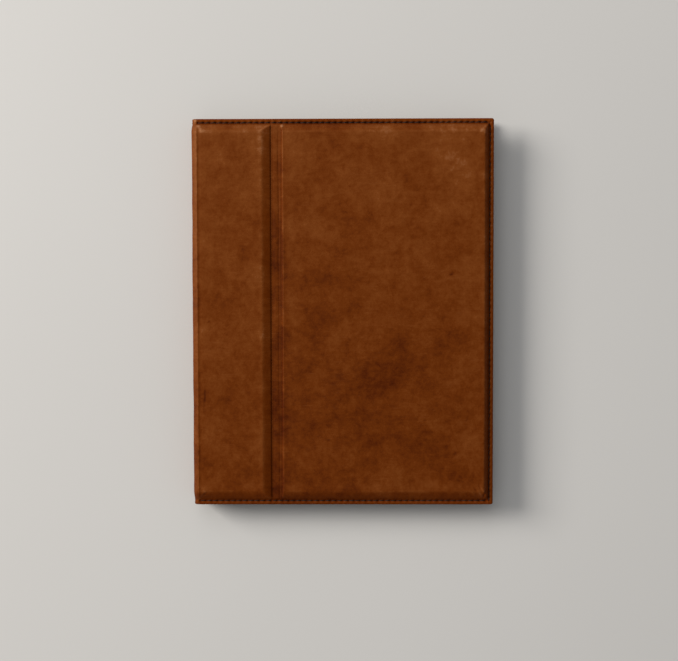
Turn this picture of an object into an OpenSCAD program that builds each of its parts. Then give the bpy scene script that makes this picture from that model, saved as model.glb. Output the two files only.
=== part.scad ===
// Leather photo album that folds into its own stand.
// Closed, it lies flat on its back cover. X runs from the spine to the fore edge, Y along the spine,
// Z up through the thickness. The origin is the middle of the footprint.
// Every module draws in a working frame whose X starts at the outer face of the spine.

/* [Cover] */
// Width from the spine to the fore edge
cover_w = 196; // [190:1:206]
// Height along the spine
cover_h = 252; // [248:1:262]
// Thickness of the closed album
album_t = 25; // [25:0.5:28]
// Radius of the leather round the spine's two corners
corner_r = 2.6; // [2.4:0.1:2.8]

/* [Layers] */
// Thickness of the outer leather
leather_t = 1.2; // [1:0.1:1.4]
// Thickness of the foam under the leather
foam_t = 1.5; // [1:0.1:1.5]
// Thickness of the stiffening boards
board_t = 2; // [1.5:0.1:2]
// Thickness of the inner lining
lining_t = 0.8; // [0.6:0.1:1]

/* [Seams] */
// Width of the flat seam outside the padding
seam_w = 3.4; // [3:0.1:4]
// Distance of the stitches from the edge
stitch_inset = 2.4; // [2.2:0.1:2.6]
// Thickness of the thread
thread_d = 0.7; // [0.5:0.1:0.8]

/* [Crease] */
// Distance of the fold line from the spine
crease_x = 54.7; // [50:0.1:58]
// Distance from the fold line to the strip's padding
crease_to_strip = 3.6; // [3.2:0.1:4]
// Distance from the fold line to the panel's padding
crease_to_panel = 3; // [2.8:0.1:4]

/* [Leaves] */
// Thickness of a filled leaf
leaf_t = 2; // [1.9:0.05:2]
// Distance from one leaf to the next
leaf_pitch = 2.25; // [2.2:0.05:2.25]
// Width of a photo print
print_w = 152; // [140:1:152]
// Height of a photo print
print_h = 102; // [90:1:110]

/* [Ring mechanism] */
// Distance of the rings' centre from the spine
ring_x = 18.5; // [18.5:0.1:20]
// Radius of the ring, to the middle of its wire
ring_r = 6.2; // [6:0.1:6.3]
// Thickness of the ring wire
wire_d = 2.4; // [2:0.1:2.6]
// Distance from one ring to the next
ring_pitch = 70; // [60:1:75]
// Width of the base plate
plate_w = 15; // [15:0.5:16]
// Length of the base plate
plate_l = 200; // [196:1:204]

/* [Hidden] */
$fn = 48;

// Colours
tan_leather = [0.43, 0.2, 0.08];
dark_thread = [0.1, 0.06, 0.05];
suede = [0.34, 0.22, 0.14];
greyboard = [0.55, 0.53, 0.5];
foam_white = [0.9, 0.88, 0.82];
nickel = [0.75, 0.75, 0.77];
clear_film = [0.8, 0.85, 0.9];
black_card = [0.08, 0.08, 0.08];
photo_paper = [0.85, 0.83, 0.78];

// Levels of one cover, measured from its outer face inwards
seam_top = leather_t + foam_t + board_t - leather_t; // outer face of the flat seam
seam_bottom = seam_top + leather_t;                  // where leather and lining meet
cover_t = seam_bottom + lining_t;                    // inner face of the lining
pad_rise = seam_top;                                 // height of the padding over the seam

half_h = cover_h / 2;
pad_half_h = half_h - seam_w;
board_gap = 1.2;      // from the inner face of the leather to a board's edge
slope_board_gap = 2;  // the same beside the crease, where the leather slopes inwards
hinge_clear = 5;      // where boards, foam and linings start, from the spine's outer face
half_gap = 0.2;       // half the slit between two parts that fold on each other
thread_clear = 0.6;   // how far the stitches stop short of the fold line
edge_reach = 3.6;     // how far the padding takes to rise at the stitched edges
crease_reach = 5.5;   // how far the strip's padding takes to fall towards the crease
ridge_reach = 1.6;    // how far the panel's padding takes to rise from the crease
outline_r = 1.4;      // radius of the outer corners
corner_gap = 2;       // half the angle left open at a spine corner, in degrees
seam_step = 0.5;      // how far the spine's seam is set in from its outer face

// Ring mechanism, above the back cover's lining
ring_z = cover_t + 5.35;
plate_h = 3.3;
plate_wall = 0.7;
blade_z = cover_t + 0.4;
blade_t = 0.7;
blade_w = 6.4;
blade_half_l = plate_l / 2 - 0.4;
ring_ys = [-ring_pitch, 0, ring_pitch];
rivet_y = plate_l / 2 - 7;
rivet_r = 1.6;
rivet_head_r = 3;

// Leaves
leaf_count = 6;
leaf_z0 = cover_t + 0.3;                 // underside of the lowest leaf
leaf_right = cover_w - 6;
leaf_left = leaf_right - 156;
leaf_half_h = 118;
film_t = 0.2;
card_t = 1;
print_t = 0.22;
tab_t = 0.4;                             // thickness of the punched tab
tab_pitch = 0.64;                        // the tabs lie closer together than the leaves
tab_half_h = 87;
tab_left = ring_x + 2.3;
tab_right = ring_x + 9.8;
punch_r = 3.1;

// ---------- shared shapes ----------

module placed() translate([-cover_w / 2, 0, 0]) children();

// Turns a shape made for the back cover, outer face down, into one for the front cover
module as_front() translate([0, 0, album_t]) mirror([0, 0, 1]) children();

// A profile drawn in X and Z, run along Y about the middle
module along_y(length) {
    translate([0, length / 2, 0]) rotate([90, 0, 0]) linear_extrude(length) children();
}

// A profile drawn in Y and Z, run along X from x0 to x1
module along_x(x0, x1) {
    translate([x0, 0, 0]) rotate([90, 0, 90]) linear_extrude(x1 - x0) children();
}

module block(x0, x1, half_y, z0, z1) {
    translate([x0, -half_y, z0]) cube([x1 - x0, 2 * half_y, z1 - z0]);
}

// Points of a padded edge, from the seam (0, 0) to the flat (reach, rise)
function shoulder(reach, rise, steps = 6) =
    reach == 0 ? [[0, 0], [0, rise]] :
    [for (i = [0:steps]) [reach * (1 - cos(90 * i / steps)), rise * sin(90 * i / steps)]];

function reversed(list) = [for (i = [len(list) - 1:-1:0]) list[i]];

// Profile of a padded cover: flat outside at z = 0, its edges rising to z = rise
function pad_profile(from, to, left, right, rise) = concat(
    [for (p = shoulder(left, rise)) [from + p.x, rise - p.y]],
    reversed([for (p = shoulder(right, rise)) [to - p.x, rise - p.y]])
);

// Padding with rounded shoulders, outer face down at z = low
module padding(x0, x1, half_y, left, right, low, high) {
    rise = high - low;
    translate([0, 0, low]) intersection() {
        along_y(2 * half_y) polygon(pad_profile(x0, x1, left, right, rise));
        along_x(x0, x1) polygon(pad_profile(-half_y, half_y, edge_reach, edge_reach, rise));
    }
}

// Flat outline of a cover part; the corners at the fore edge may be rounded
module outline(x0, x1, r) {
    if (r == 0) {
        translate([x0, -half_h]) square([x1 - x0, cover_h]);
    } else {
        translate([x0, -half_h]) square([x1 - x0 - r, cover_h]);
        translate([x0, -half_h + r]) square([x1 - x0, cover_h - 2 * r]);
        for (y = [-1, 1]) translate([x1 - r, y * (half_h - r)]) circle(r);
    }
}

module flat_sheet(x0, x1, r, z0, z1) {
    translate([0, 0, z0]) linear_extrude(z1 - z0) outline(x0, x1, r);
}

// Half of the leather that rounds a spine corner, between two angles about the corner's centre
module corner_leather(from, to) {
    reach = 2 * corner_r;
    along_y(2 * pad_half_h) translate([corner_r, corner_r]) intersection() {
        difference() {
            circle(corner_r);
            circle(corner_r - leather_t);
        }
        polygon([[0, 0], reach * [cos(from), sin(from)], reach * [cos(to), sin(to)]]);
    }
}

// ---------- one padded cover, drawn outer face down ----------

// The hollow under a cover's leather, open towards the lining
module hollow(x0, x1, left, right) {
    padding(x0, x1, pad_half_h - leather_t, left, right, leather_t, seam_bottom + 1);
}

// The leather skin of a cover: x0 and x1 bound the skin, p0 and p1 its padding
module skin(x0, x1, p0, p1, left, right, r, open_left) {
    inner_x0 = open_left ? p0 - 1 : p0 + leather_t;
    difference() {
        union() {
            flat_sheet(x0, x1, r, seam_top, seam_bottom);
            padding(p0, p1, pad_half_h, left, right, 0, seam_bottom);
        }
        hollow(inner_x0, p1 - leather_t, left, right);
    }
}

module stiffener(x0, x1) {
    block(x0, x1, pad_half_h - leather_t - board_gap, seam_bottom - board_t, seam_bottom);
}

// Foam that fills the hollow around the board
module foam(x0, x1, left, right, board_x0, board_x1) {
    board_half_h = pad_half_h - leather_t - board_gap;
    difference() {
        hollow(x0, x1, left, right);
        block(x0 - 1, x1 + 1, half_h, seam_bottom, seam_bottom + 2);
        block(board_x0, board_x1, board_half_h, seam_bottom - board_t, seam_bottom + 1);
    }
}

// Stitches along head and tail, and along the fore edge if there is one
module seam_thread(x0, x1, fore_edge, z0, z1) {
    y = half_h - stitch_inset;
    for (side = [-1, 1])
        translate([x0, side * y - thread_d / 2, z0]) cube([x1 - x0, thread_d, z1 - z0]);
    if (fore_edge)
        translate([x1 - thread_d, -y - thread_d / 2, z0]) cube([thread_d, 2 * y + thread_d, z1 - z0]);
}

// The same stitches seen on the leather and on the lining
module both_threads(x0, x1, fore_edge) {
    seam_thread(x0, x1, fore_edge, seam_top - thread_d / 2, seam_top);
    seam_thread(x0, x1, fore_edge, cover_t, cover_t + thread_d / 2);
}

// ---------- back cover ----------

back_pad_x1 = cover_w - seam_w;
back_board_x1 = back_pad_x1 - leather_t - board_gap;
thread_x1 = cover_w - stitch_inset + thread_d / 2;

module back_leather() color(tan_leather) placed() {
    skin(corner_r, cover_w, corner_r, back_pad_x1, 0, edge_reach, outline_r, true);
    corner_leather(225 + corner_gap, 270);
}

module back_foam() color(foam_white) placed() difference() {
    foam(hinge_clear, back_pad_x1 - leather_t, 0, edge_reach, hinge_clear, back_board_x1);
    for (side = [-1, 1])
        translate([ring_x, side * rivet_y, leather_t]) cylinder(r = rivet_head_r + 0.3, h = seam_bottom);
}

module back_board() color(greyboard) placed() difference() {
    stiffener(hinge_clear, back_board_x1);
    rivet_holes(seam_bottom - board_t - 1, seam_bottom + 1);
}

module back_lining() color(suede) placed() difference() {
    flat_sheet(hinge_clear, cover_w, outline_r, seam_bottom, cover_t);
    rivet_holes(seam_bottom - 1, cover_t + 1);
}

module back_stitching() color(dark_thread) placed() both_threads(hinge_clear, thread_x1, true);

// ---------- front cover: strip and panel ----------

strip_pad_x1 = crease_x - crease_to_strip;
strip_board_x1 = strip_pad_x1 - leather_t - slope_board_gap;
panel_pad_x0 = crease_x + crease_to_panel;
panel_board_x0 = panel_pad_x0 + leather_t + board_gap;

module strip_leather() color(tan_leather) placed() as_front() {
    skin(corner_r, crease_x - half_gap, corner_r, strip_pad_x1, 0, crease_reach, 0, true);
    corner_leather(225 + corner_gap, 270);
}

module strip_foam() color(foam_white) placed() as_front()
    foam(hinge_clear, strip_pad_x1 - leather_t, 0, crease_reach, hinge_clear, strip_board_x1);

module strip_board() color(greyboard) placed() as_front() stiffener(hinge_clear, strip_board_x1);

module strip_lining() color(suede) placed() as_front()
    flat_sheet(hinge_clear, crease_x - half_gap, 0, seam_bottom, cover_t);

module strip_stitching() color(dark_thread) placed() as_front()
    both_threads(hinge_clear, crease_x - thread_clear, false);

module panel_leather() color(tan_leather) placed() as_front()
    skin(crease_x + half_gap, cover_w, panel_pad_x0, back_pad_x1, ridge_reach, edge_reach, outline_r, false);

module panel_foam() color(foam_white) placed() as_front()
    foam(panel_pad_x0 + leather_t, back_pad_x1 - leather_t, ridge_reach, edge_reach,
         panel_board_x0, back_board_x1);

module panel_board() color(greyboard) placed() as_front() stiffener(panel_board_x0, back_board_x1);

module panel_lining() color(suede) placed() as_front()
    flat_sheet(crease_x + half_gap, cover_w, outline_r, seam_bottom, cover_t);

module panel_stitching() color(dark_thread) placed() as_front()
    both_threads(crease_x + thread_clear, thread_x1, true);

// ---------- spine ----------

spine_board_x1 = leather_t + board_t;

module spine_leather() color(tan_leather) placed() {
    block(0, leather_t, pad_half_h, corner_r, album_t - corner_r);
    for (side = [-1, 1])
        translate([seam_step, side * (half_h - seam_w / 2) - seam_w / 2, cover_t])
            cube([leather_t, seam_w, album_t - 2 * cover_t]);
    corner_leather(180, 225 - corner_gap);
    as_front() corner_leather(180, 225 - corner_gap);
}

module spine_board() color(greyboard) placed()
    block(leather_t, spine_board_x1, pad_half_h - board_gap, hinge_clear, album_t - hinge_clear);

module spine_lining() color(suede) placed() {
    seam_x = seam_step + leather_t;
    lining_z0 = hinge_clear + 1;
    lining_h = album_t - 2 * lining_z0;
    block(spine_board_x1, spine_board_x1 + lining_t, pad_half_h, lining_z0, album_t - lining_z0);
    for (side = [-1, 1]) {
        translate([seam_x, side * (pad_half_h - lining_t / 2) - lining_t / 2, lining_z0])
            cube([spine_board_x1 - seam_x, lining_t, lining_h]);
        translate([seam_x, side * (half_h - seam_w / 2) - seam_w / 2, lining_z0])
            cube([lining_t, seam_w, lining_h]);
    }
}

module spine_stitching() color(dark_thread) placed()
    for (side = [-1, 1])
        translate([seam_step - thread_d / 2, side * (half_h - stitch_inset) - thread_d / 2, cover_t + 1])
            cube([thread_d / 2, thread_d, album_t - 2 * cover_t - 2]);

// ---------- ring mechanism ----------

module rivet_holes(z0, z1) {
    for (side = [-1, 1])
        translate([ring_x, side * rivet_y, z0]) cylinder(r = rivet_r + 0.05, h = z1 - z0);
}

// Arched section of the base plate, a little squarer than an ellipse
function arch(half_w, height, steps = 20) =
    [for (i = [0:steps]) let (a = 180 * i / steps, c = cos(a))
        [half_w * sign(c) * pow(abs(c), 2 / 3), height * pow(sin(a), 2 / 3)]];

module ring_base_plate() color(nickel) placed() difference() {
    translate([ring_x, 0, cover_t]) along_y(plate_l) difference() {
        polygon(arch(plate_w / 2, plate_h));
        polygon(arch(plate_w / 2 - plate_wall, plate_h - plate_wall));
    }
    for (y = ring_ys, side = [-1, 1])
        translate([ring_x + side * 5.4 - 2.5, y - wire_d / 2 - 0.4, cover_t + 0.8])
            cube([5, wire_d + 0.8, plate_h]);
    rivet_holes(cover_t, cover_t + plate_h + 1);
}

// Rivets that hold the plate: a domed head above it, a flat clinch under the board
module mechanism_rivets() color(nickel) placed()
    for (side = [-1, 1]) translate([ring_x, side * rivet_y, 0]) {
        translate([0, 0, seam_bottom - board_t]) cylinder(r = rivet_r, h = plate_h + lining_t + board_t + 0.2);
        translate([0, 0, cover_t + plate_h]) cylinder(r1 = rivet_head_r, r2 = rivet_head_r - 0.8, h = 0.8);
        translate([0, 0, seam_bottom - board_t - 0.5]) cylinder(r = rivet_head_r, h = 0.5);
    }

// One of the two sprung blades under the plate; side is -1 for the left and 1 for the right
module blade(side) {
    x = side < 0 ? ring_x - blade_w - 0.1 : ring_x + 0.1;
    difference() {
        block(x, x + blade_w, blade_half_l, blade_z, blade_z + blade_t);
        for (end = [-1, 1])
            translate([ring_x, end * rivet_y, blade_z - 1]) cylinder(r = rivet_r + 0.8, h = blade_t + 2);
    }
}

// The half rings on one blade: arcs from the top of the ring down into the blade
module half_rings(side) {
    foot_angle = asin((ring_z - blade_z) / (ring_r + wire_d / 2));
    for (y = ring_ys)
        translate([ring_x, y, ring_z]) rotate([90, 0, 0]) rotate([0, 0, side > 0 ? -foot_angle : 90.5])
            rotate_extrude(angle = 89.5 + foot_angle) translate([ring_r, 0]) circle(wire_d / 2);
}

module left_blade() color(nickel) placed() blade(-1);
module right_blade() color(nickel) placed() blade(1);
module left_half_rings() color(nickel) placed() half_rings(-1);
module right_half_rings() color(nickel) placed() half_rings(1);

// Thumb lever at one end of the plate, with an arm that reaches under the blades
module lever(end) {
    y = plate_l / 2;
    translate([ring_x, 0, 0]) mirror([0, end < 0 ? 1 : 0, 0]) {
        translate([-4.5, y + 0.4, cover_t + 0.8]) cube([9, 1, 6.5]);
        translate([0, y + 1.4, cover_t + 7.3]) rotate([90, 0, 0]) cylinder(r = 4.5, h = 1);
        translate([-1.5, y + 0.2, cover_t + 0.1]) cube([3, 0.6, 2]);
        translate([-1.5, y - 1.8, cover_t + 0.1]) cube([3, 2.6, 0.25]);
    }
}

module head_lever() color(nickel) placed() lever(1);
module tail_lever() color(nickel) placed() lever(-1);

// ---------- leaves, counted from the back cover up ----------

function leaf_z(k) = leaf_z0 + (k - 1) * leaf_pitch;
function tab_z(k) = ring_z + (k - (leaf_count + 1) / 2) * tab_pitch - tab_t / 2;

// Film pocket, open at the head, with a punched tab that ramps to the height of the rings
module sleeve(k) {
    z = leaf_z(k);
    ramp_z = z + (leaf_t - tab_t) / 2;
    difference() {
        union() {
            block(leaf_left, leaf_right, leaf_half_h, z, z + leaf_t);
            along_y(2 * tab_half_h) polygon([
                [tab_left, tab_z(k)], [tab_right, tab_z(k)], [leaf_left + 0.01, ramp_z],
                [leaf_left + 0.01, ramp_z + tab_t], [tab_right, tab_z(k) + tab_t], [tab_left, tab_z(k) + tab_t]
            ]);
        }
        translate([leaf_left + 1, -leaf_half_h + 1, z + film_t])
            cube([leaf_right - leaf_left - 2, 2 * leaf_half_h, leaf_t - 2 * film_t]);
        for (y = ring_ys)
            translate([ring_x + ring_r, y, tab_z(k) - 1]) cylinder(r = punch_r, h = tab_t + 2);
    }
}

module card(k) {
    mid = leaf_z(k) + leaf_t / 2;
    block(leaf_left + 1.2, leaf_right - 1.2, leaf_half_h - 1.2, mid - card_t / 2, mid + card_t / 2);
}

// Two prints on each side of the card
module prints(k) {
    mid = leaf_z(k) + leaf_t / 2;
    x = (leaf_left + leaf_right - print_w) / 2;
    for (row = [-1, 1], z = [mid - card_t / 2 - print_t, mid + card_t / 2])
        translate([x, row * (print_h + 8) / 2 - print_h / 2, z]) cube([print_w, print_h, print_t]);
}

module leaf_sleeve(k) color(clear_film) placed() sleeve(k);
module leaf_card(k) color(black_card) placed() card(k);
module leaf_prints(k) color(photo_paper) placed() prints(k);

// ---------- nodes ----------

back_leather();
back_foam();
back_board();
back_lining();
back_stitching();
ring_base_plate();
mechanism_rivets();
left_blade();
left_half_rings();
right_blade();
right_half_rings();
head_lever();
tail_lever();
leaf_sleeve(1);  // leaf_1_sleeve
leaf_card(1);  // leaf_1_card
leaf_prints(1);  // leaf_1_prints
leaf_sleeve(2);  // leaf_2_sleeve
leaf_card(2);  // leaf_2_card
leaf_prints(2);  // leaf_2_prints
leaf_sleeve(3);  // leaf_3_sleeve
leaf_card(3);  // leaf_3_card
leaf_prints(3);  // leaf_3_prints
leaf_sleeve(4);  // leaf_4_sleeve
leaf_card(4);  // leaf_4_card
leaf_prints(4);  // leaf_4_prints
leaf_sleeve(5);  // leaf_5_sleeve
leaf_card(5);  // leaf_5_card
leaf_prints(5);  // leaf_5_prints
leaf_sleeve(6);  // leaf_6_sleeve
leaf_card(6);  // leaf_6_card
leaf_prints(6);  // leaf_6_prints
spine_leather();
spine_board();
spine_lining();
spine_stitching();
strip_leather();
strip_foam();
strip_board();
strip_lining();
strip_stitching();
panel_leather();
panel_foam();
panel_board();
panel_lining();
panel_stitching();
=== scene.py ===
import math

import bpy
import numpy as np
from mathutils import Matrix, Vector


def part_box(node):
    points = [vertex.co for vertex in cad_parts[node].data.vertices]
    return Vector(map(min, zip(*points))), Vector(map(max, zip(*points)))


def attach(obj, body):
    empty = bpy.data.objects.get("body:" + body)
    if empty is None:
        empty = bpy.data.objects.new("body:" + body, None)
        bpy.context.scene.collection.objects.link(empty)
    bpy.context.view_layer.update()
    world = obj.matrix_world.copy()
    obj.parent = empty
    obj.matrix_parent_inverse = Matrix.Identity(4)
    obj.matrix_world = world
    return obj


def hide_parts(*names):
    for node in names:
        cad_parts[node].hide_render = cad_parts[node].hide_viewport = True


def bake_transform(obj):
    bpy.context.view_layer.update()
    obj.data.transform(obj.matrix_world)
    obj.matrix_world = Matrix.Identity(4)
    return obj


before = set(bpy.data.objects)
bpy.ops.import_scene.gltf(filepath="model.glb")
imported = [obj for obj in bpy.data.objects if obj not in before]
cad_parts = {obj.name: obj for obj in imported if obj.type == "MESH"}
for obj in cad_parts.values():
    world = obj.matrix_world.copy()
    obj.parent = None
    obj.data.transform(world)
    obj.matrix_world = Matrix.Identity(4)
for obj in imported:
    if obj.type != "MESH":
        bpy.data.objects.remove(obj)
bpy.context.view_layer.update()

# ---------------------------------------------------------------- measures, in mm from the spine's outer face

lo_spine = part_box("spine_leather")[0]
hi_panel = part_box("panel_leather")[1]
lo_lining, hi_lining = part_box("back_lining")
ORIGIN_X = lo_spine.x * 1000
W = round((hi_panel.x - lo_spine.x) * 1000, 3)
HALF = round(hi_panel.y * 1000, 3)
T = round(hi_panel.z * 1000, 3)
LEATHER = 1.2
LINING = (hi_lining.z - lo_lining.z) * 1000
COVER = hi_lining.z * 1000
SEAM = COVER - LINING - LEATHER            # outer face of the flat seam
FOOT = 3.4                                 # where the padding starts, from the edge
STITCH = 2.55                              # stitch line, from the edge
PITCH = 3.9
OUTLINE_R = 1.4                            # radius of the outer corners
CORNER = 2.6                               # how high the spine's corner rounds
CORNER_X = 3.4                             # how far over the cover it reaches
ARC = CORNER * math.pi / 2
SEAM_INSET = 0.15                          # how far the seam lies behind the spine's face
SEAM_CORNER = CORNER - SEAM_INSET
GROOVE_X = 51.4                            # the sharp crease beside the strip
RIDGE_X = 57.8                             # where the panel's padding starts
BAND = 0.24                                # height of the band beside the crease, as a share of the padding's
FOLD_X = 54.7                              # the fold line
GUTTER_R = 1.6                             # radius of the lining's gutter at the spine
STEP = PITCH / 5                           # distance between the grid's lines
ROLL = [0.0, 0.03, 0.1, 0.22, 0.4, 0.6]    # extra lines at the rolled edges, from the edge


def metres(p):
    q = np.array(p, float)
    q[..., 0] += ORIGIN_X
    return q / 1000


def box_mm(node):
    """A node's lowest and highest corners, in mm from the spine's outer face."""
    lo, hi = (np.array(v) * 1000 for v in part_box(node))
    lo[0] -= ORIGIN_X
    hi[0] -= ORIGIN_X
    return lo, hi


# ---------------------------------------------------------------- noise and curves


def ease(t):
    return t * t * (3 - 2 * t)


def noise1(t, cell, seed):
    table = np.random.RandomState(seed).uniform(-1, 1, 4096)
    q = np.asarray(t, float) / cell + 1000.0
    i = np.floor(q).astype(int)
    f = ease(q - i)
    return table[i % 4096] * (1 - f) + table[(i + 1) % 4096] * f


def noise2(x, y, cell, seed):
    table = np.random.RandomState(seed).uniform(-1, 1, (256, 256))
    qx = np.asarray(x, float) / cell + 512.0
    qy = np.asarray(y, float) / cell + 512.0
    ix = np.floor(qx).astype(int)
    iy = np.floor(qy).astype(int)
    fx = ease(qx - ix)
    fy = ease(qy - iy)
    near = table[ix % 256, iy % 256] * (1 - fx) + table[(ix + 1) % 256, iy % 256] * fx
    far = table[ix % 256, (iy + 1) % 256] * (1 - fx) + table[(ix + 1) % 256, (iy + 1) % 256] * fx
    return near * (1 - fy) + far * fy


def bell(t, width):
    return np.exp(-((t / width) ** 2))


def rise(d, reach, power=1.9):
    """From 0 at d = 0 to 1 at d = reach, steep at first."""
    q = np.clip(d / reach, 0, 1)
    return 1 - (1 - q) ** power


def smooth_min(a, b, k):
    h = np.clip(0.5 + 0.5 * (b - a) / k, 0, 1)
    return np.clip((b * (1 - h) + a * h - k * h * (1 - h)) / (1 - k / 4), 0, None)


def segment_distance(x, y, x0, y0, x1, y1):
    """The distance from a segment, and how far along it the nearest point is, 0 to 1."""
    ex, ey = x1 - x0, y1 - y0
    t = np.clip(((x - x0) * ex + (y - y0) * ey) / (ex * ex + ey * ey), 0, 1)
    return np.hypot(x - x0 - t * ex, y - y0 - t * ey), t


# ---------------------------------------------------------------- grids and meshes


def lattice(start, end, fine):
    """Lines from start to end: multiples of the step, and of half the step inside the fine ranges."""
    lines = {round(start, 4), round(end, 4)}
    k = math.floor(start / (STEP / 2))
    while k * STEP / 2 < end:
        t = k * STEP / 2
        if start < t < end and (k % 2 == 0 or any(a <= t <= b for a, b in fine)):
            lines.add(round(t, 4))
        k += 1
    return lines


def kept(d):
    """Whether a line at the distance d from an edge stays: near the edge, only the roll's own lines do."""
    return d > 0.65 or any(abs(d - r) < 1e-6 for r in ROLL)


def thin(values, gap=0.025):
    """Drops lines that are closer to the last one than gap. The first and the last value stay."""
    out = [values[0]]
    for v in values[1:]:
        if v - out[-1] >= gap:
            out.append(v)
    out[-1] = values[-1]
    return out


def y_lines():
    lines = lattice(-HALF, HALF, [(-HALF, -112), (112, HALF)])
    for r in ROLL:
        lines |= {round(HALF - r, 4), round(-HALF + r, 4)}
    return np.array(sorted(v for v in lines if kept(HALF - abs(v))))


Y = y_lines()


def mesh_object(name, verts, faces, attributes, smooth_angle, material):
    mesh = bpy.data.meshes.new(name)
    mesh.from_pydata([tuple(v) for v in metres(verts)], [], faces)
    mesh.update()
    for key, values in attributes.items():
        values = np.asarray(values, np.float32)
        kind, field = ("FLOAT_VECTOR", "vector") if values.ndim == 2 else ("FLOAT", "value")
        mesh.attributes.new(key, kind, "POINT").data.foreach_set(field, values.ravel())
    mesh.polygons.foreach_set("use_smooth", np.ones(len(mesh.polygons), bool))
    mesh.set_sharp_from_angle(angle=math.radians(smooth_angle))
    mesh.materials.append(material)
    obj = bpy.data.objects.new(name, mesh)
    bpy.context.scene.collection.objects.link(obj)
    return obj


def quads(ids):
    """The faces of a grid of vertex numbers, turning from its first axis to its second."""
    corners = (ids[:-1, :-1], ids[1:, :-1], ids[1:, 1:], ids[:-1, 1:])
    return np.stack([c.ravel() for c in corners], 1).tolist()


def turned(face):
    """The same face seen from behind, from the same first corner."""
    return face[:1] + face[:0:-1]


def perimeter(ids):
    """The numbers round a grid, turning the same way."""
    return np.concatenate([ids[:-1, 0], ids[-1, :-1], ids[:0:-1, -1], ids[0, :0:-1]]).tolist()


def band_faces(upper, lower):
    """The faces between two closed loops of vertex numbers."""
    corners = zip(upper, lower, lower[1:] + lower[:1], upper[1:] + upper[:1])
    return [list(face) for face in corners]


def shell(name, outer, inner, attributes, material, flip=False, coarse=4):
    """A closed sheet between two grids of points. The inner grid isn't seen, so it is thinned."""
    nu, nv = outer.shape[:2]
    cu = sorted(set(range(0, nu, coarse)) | {nu - 1})
    cv = sorted(set(range(0, nv, coarse)) | {nv - 1})
    mu, mv = len(cu), len(cv)
    fine_ids = np.arange(nu * nv).reshape(nu, nv)
    coarse_ids = nu * nv + np.arange(mu * mv).reshape(mu, mv)

    def rim(fine_row, coarse_row, breaks, way):
        return [fine_row[a:b + 1][::way].tolist() + coarse_row[k:k + 2][::-way].tolist()
                for k, (a, b) in enumerate(zip(breaks, breaks[1:]))]

    faces = quads(fine_ids) + [turned(q) for q in quads(coarse_ids)]
    faces += rim(fine_ids[:, 0], coarse_ids[:, 0], cu, -1)
    faces += rim(fine_ids[:, -1], coarse_ids[:, -1], cu, 1)
    faces += rim(fine_ids[0], coarse_ids[0], cv, 1)
    faces += rim(fine_ids[-1], coarse_ids[-1], cv, -1)
    if flip:
        faces = [f[::-1] for f in faces]
    verts = np.concatenate([outer.reshape(-1, 3), inner[np.ix_(cu, cv)].reshape(-1, 3)])
    full = {}
    for key, values in attributes.items():
        width = values.shape[2:]
        both = [values.reshape((-1,) + width), values[np.ix_(cu, cv)].reshape((-1,) + width)]
        full[key] = np.concatenate(both)
    return mesh_object(name, verts, faces, full, 50, material)


def grid_normals(p):
    n = np.cross(np.gradient(p, axis=0), np.gradient(p, axis=1))
    return n / np.maximum(np.linalg.norm(n, axis=2, keepdims=True), 1e-9)


def round_corners(points, y):
    """Rounds the two corners at the fore edge, in place."""
    r = OUTLINE_R
    a = (points[..., 0] - (W - r)) / r
    b = (np.abs(y) - (HALF - r)) / r
    inside = (a > 0) & (b > 0)
    k = np.where(inside, np.maximum(a, b) / np.maximum(np.hypot(a, b), 1e-9), 1.0)
    points[..., 0] = np.where(inside, W - r + a * r * k, points[..., 0])
    points[..., 1] = np.where(inside, np.sign(y) * (HALF - r + b * r * k), points[..., 1])


def sheet_points(path, y, high):
    """A sheet's points along a path: at the seam's level where high is 0, at the padded one where it is 1."""
    px, pz, sx, sz = (path[:, k][:, None] for k in range(1, 5))
    points = np.stack([sx + (px - sx) * high, y, sz + (pz - sz) * high], 2)
    round_corners(points, y)
    return points


def edge_distances(kind, s, y):
    """How far it is to the fore edge, which the strip doesn't have, and to the nearest edge."""
    fore = np.full_like(s, 1e3) if kind == "strip" else W - s
    return fore, np.minimum(fore, HALF - np.abs(y))


def along_seam(fore, s, y):
    """The way along the nearest seam, and how far that is from a needle hole."""
    travel = np.where(fore < HALF - np.abs(y), y, s)
    return travel, np.abs((travel / PITCH + 0.5) % 1 - 0.5) * PITCH


def rolled(edge, r):
    """How far a sheet's face drops where its edge is rounded with the radius r."""
    return np.where(edge < r, r - np.sqrt(np.maximum(r * r - (r - edge) ** 2, 0)), 0)


TURN_OVER = np.array([1, 1, -1])


class Grid:
    """Points and normals where the flat sheet's lines us and vs cross."""

    def __init__(self, us, vs, points, normals):
        self.us = us
        self.vs = vs
        self.points = points
        self.normals = normals

    def sample(self, values, u, v):
        i = int(np.clip(np.searchsorted(self.us, u) - 1, 0, len(self.us) - 2))
        j = int(np.clip(np.searchsorted(self.vs, v) - 1, 0, len(self.vs) - 2))
        a = (u - self.us[i]) / max(self.us[i + 1] - self.us[i], 1e-9)
        b = (v - self.vs[j]) / max(self.vs[j + 1] - self.vs[j], 1e-9)
        near = values[i, j] * (1 - a) + values[i + 1, j] * a
        far = values[i, j + 1] * (1 - a) + values[i + 1, j + 1] * a
        return near * (1 - b) + far * b

    def point(self, u, v):
        return self.sample(self.points, u, v)

    def normal(self, u, v):
        n = self.sample(self.normals, u, v)
        return n / np.linalg.norm(n)


# where a sheet turns from one body to the next: bodies, then start and end on the plane of X and Z
TURNS = {
    "back": ("back_cover", "spine", (4.6, 1.2), (1.2, 4.6)),
    "strip": ("spine", "strip", (1.2, T - 4.6), (4.6, T - 1.2)),
    "panel": ("strip", "panel", (GROOVE_X + 0.4, T - SEAM), (RIDGE_X, T - SEAM)),
}


def turn(obj, kind):
    body_a, body_b, start, end = TURNS[kind]
    ends = [tuple(metres([x, 0, z])) for x, z in (start, end)]
    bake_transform(obj)


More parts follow.
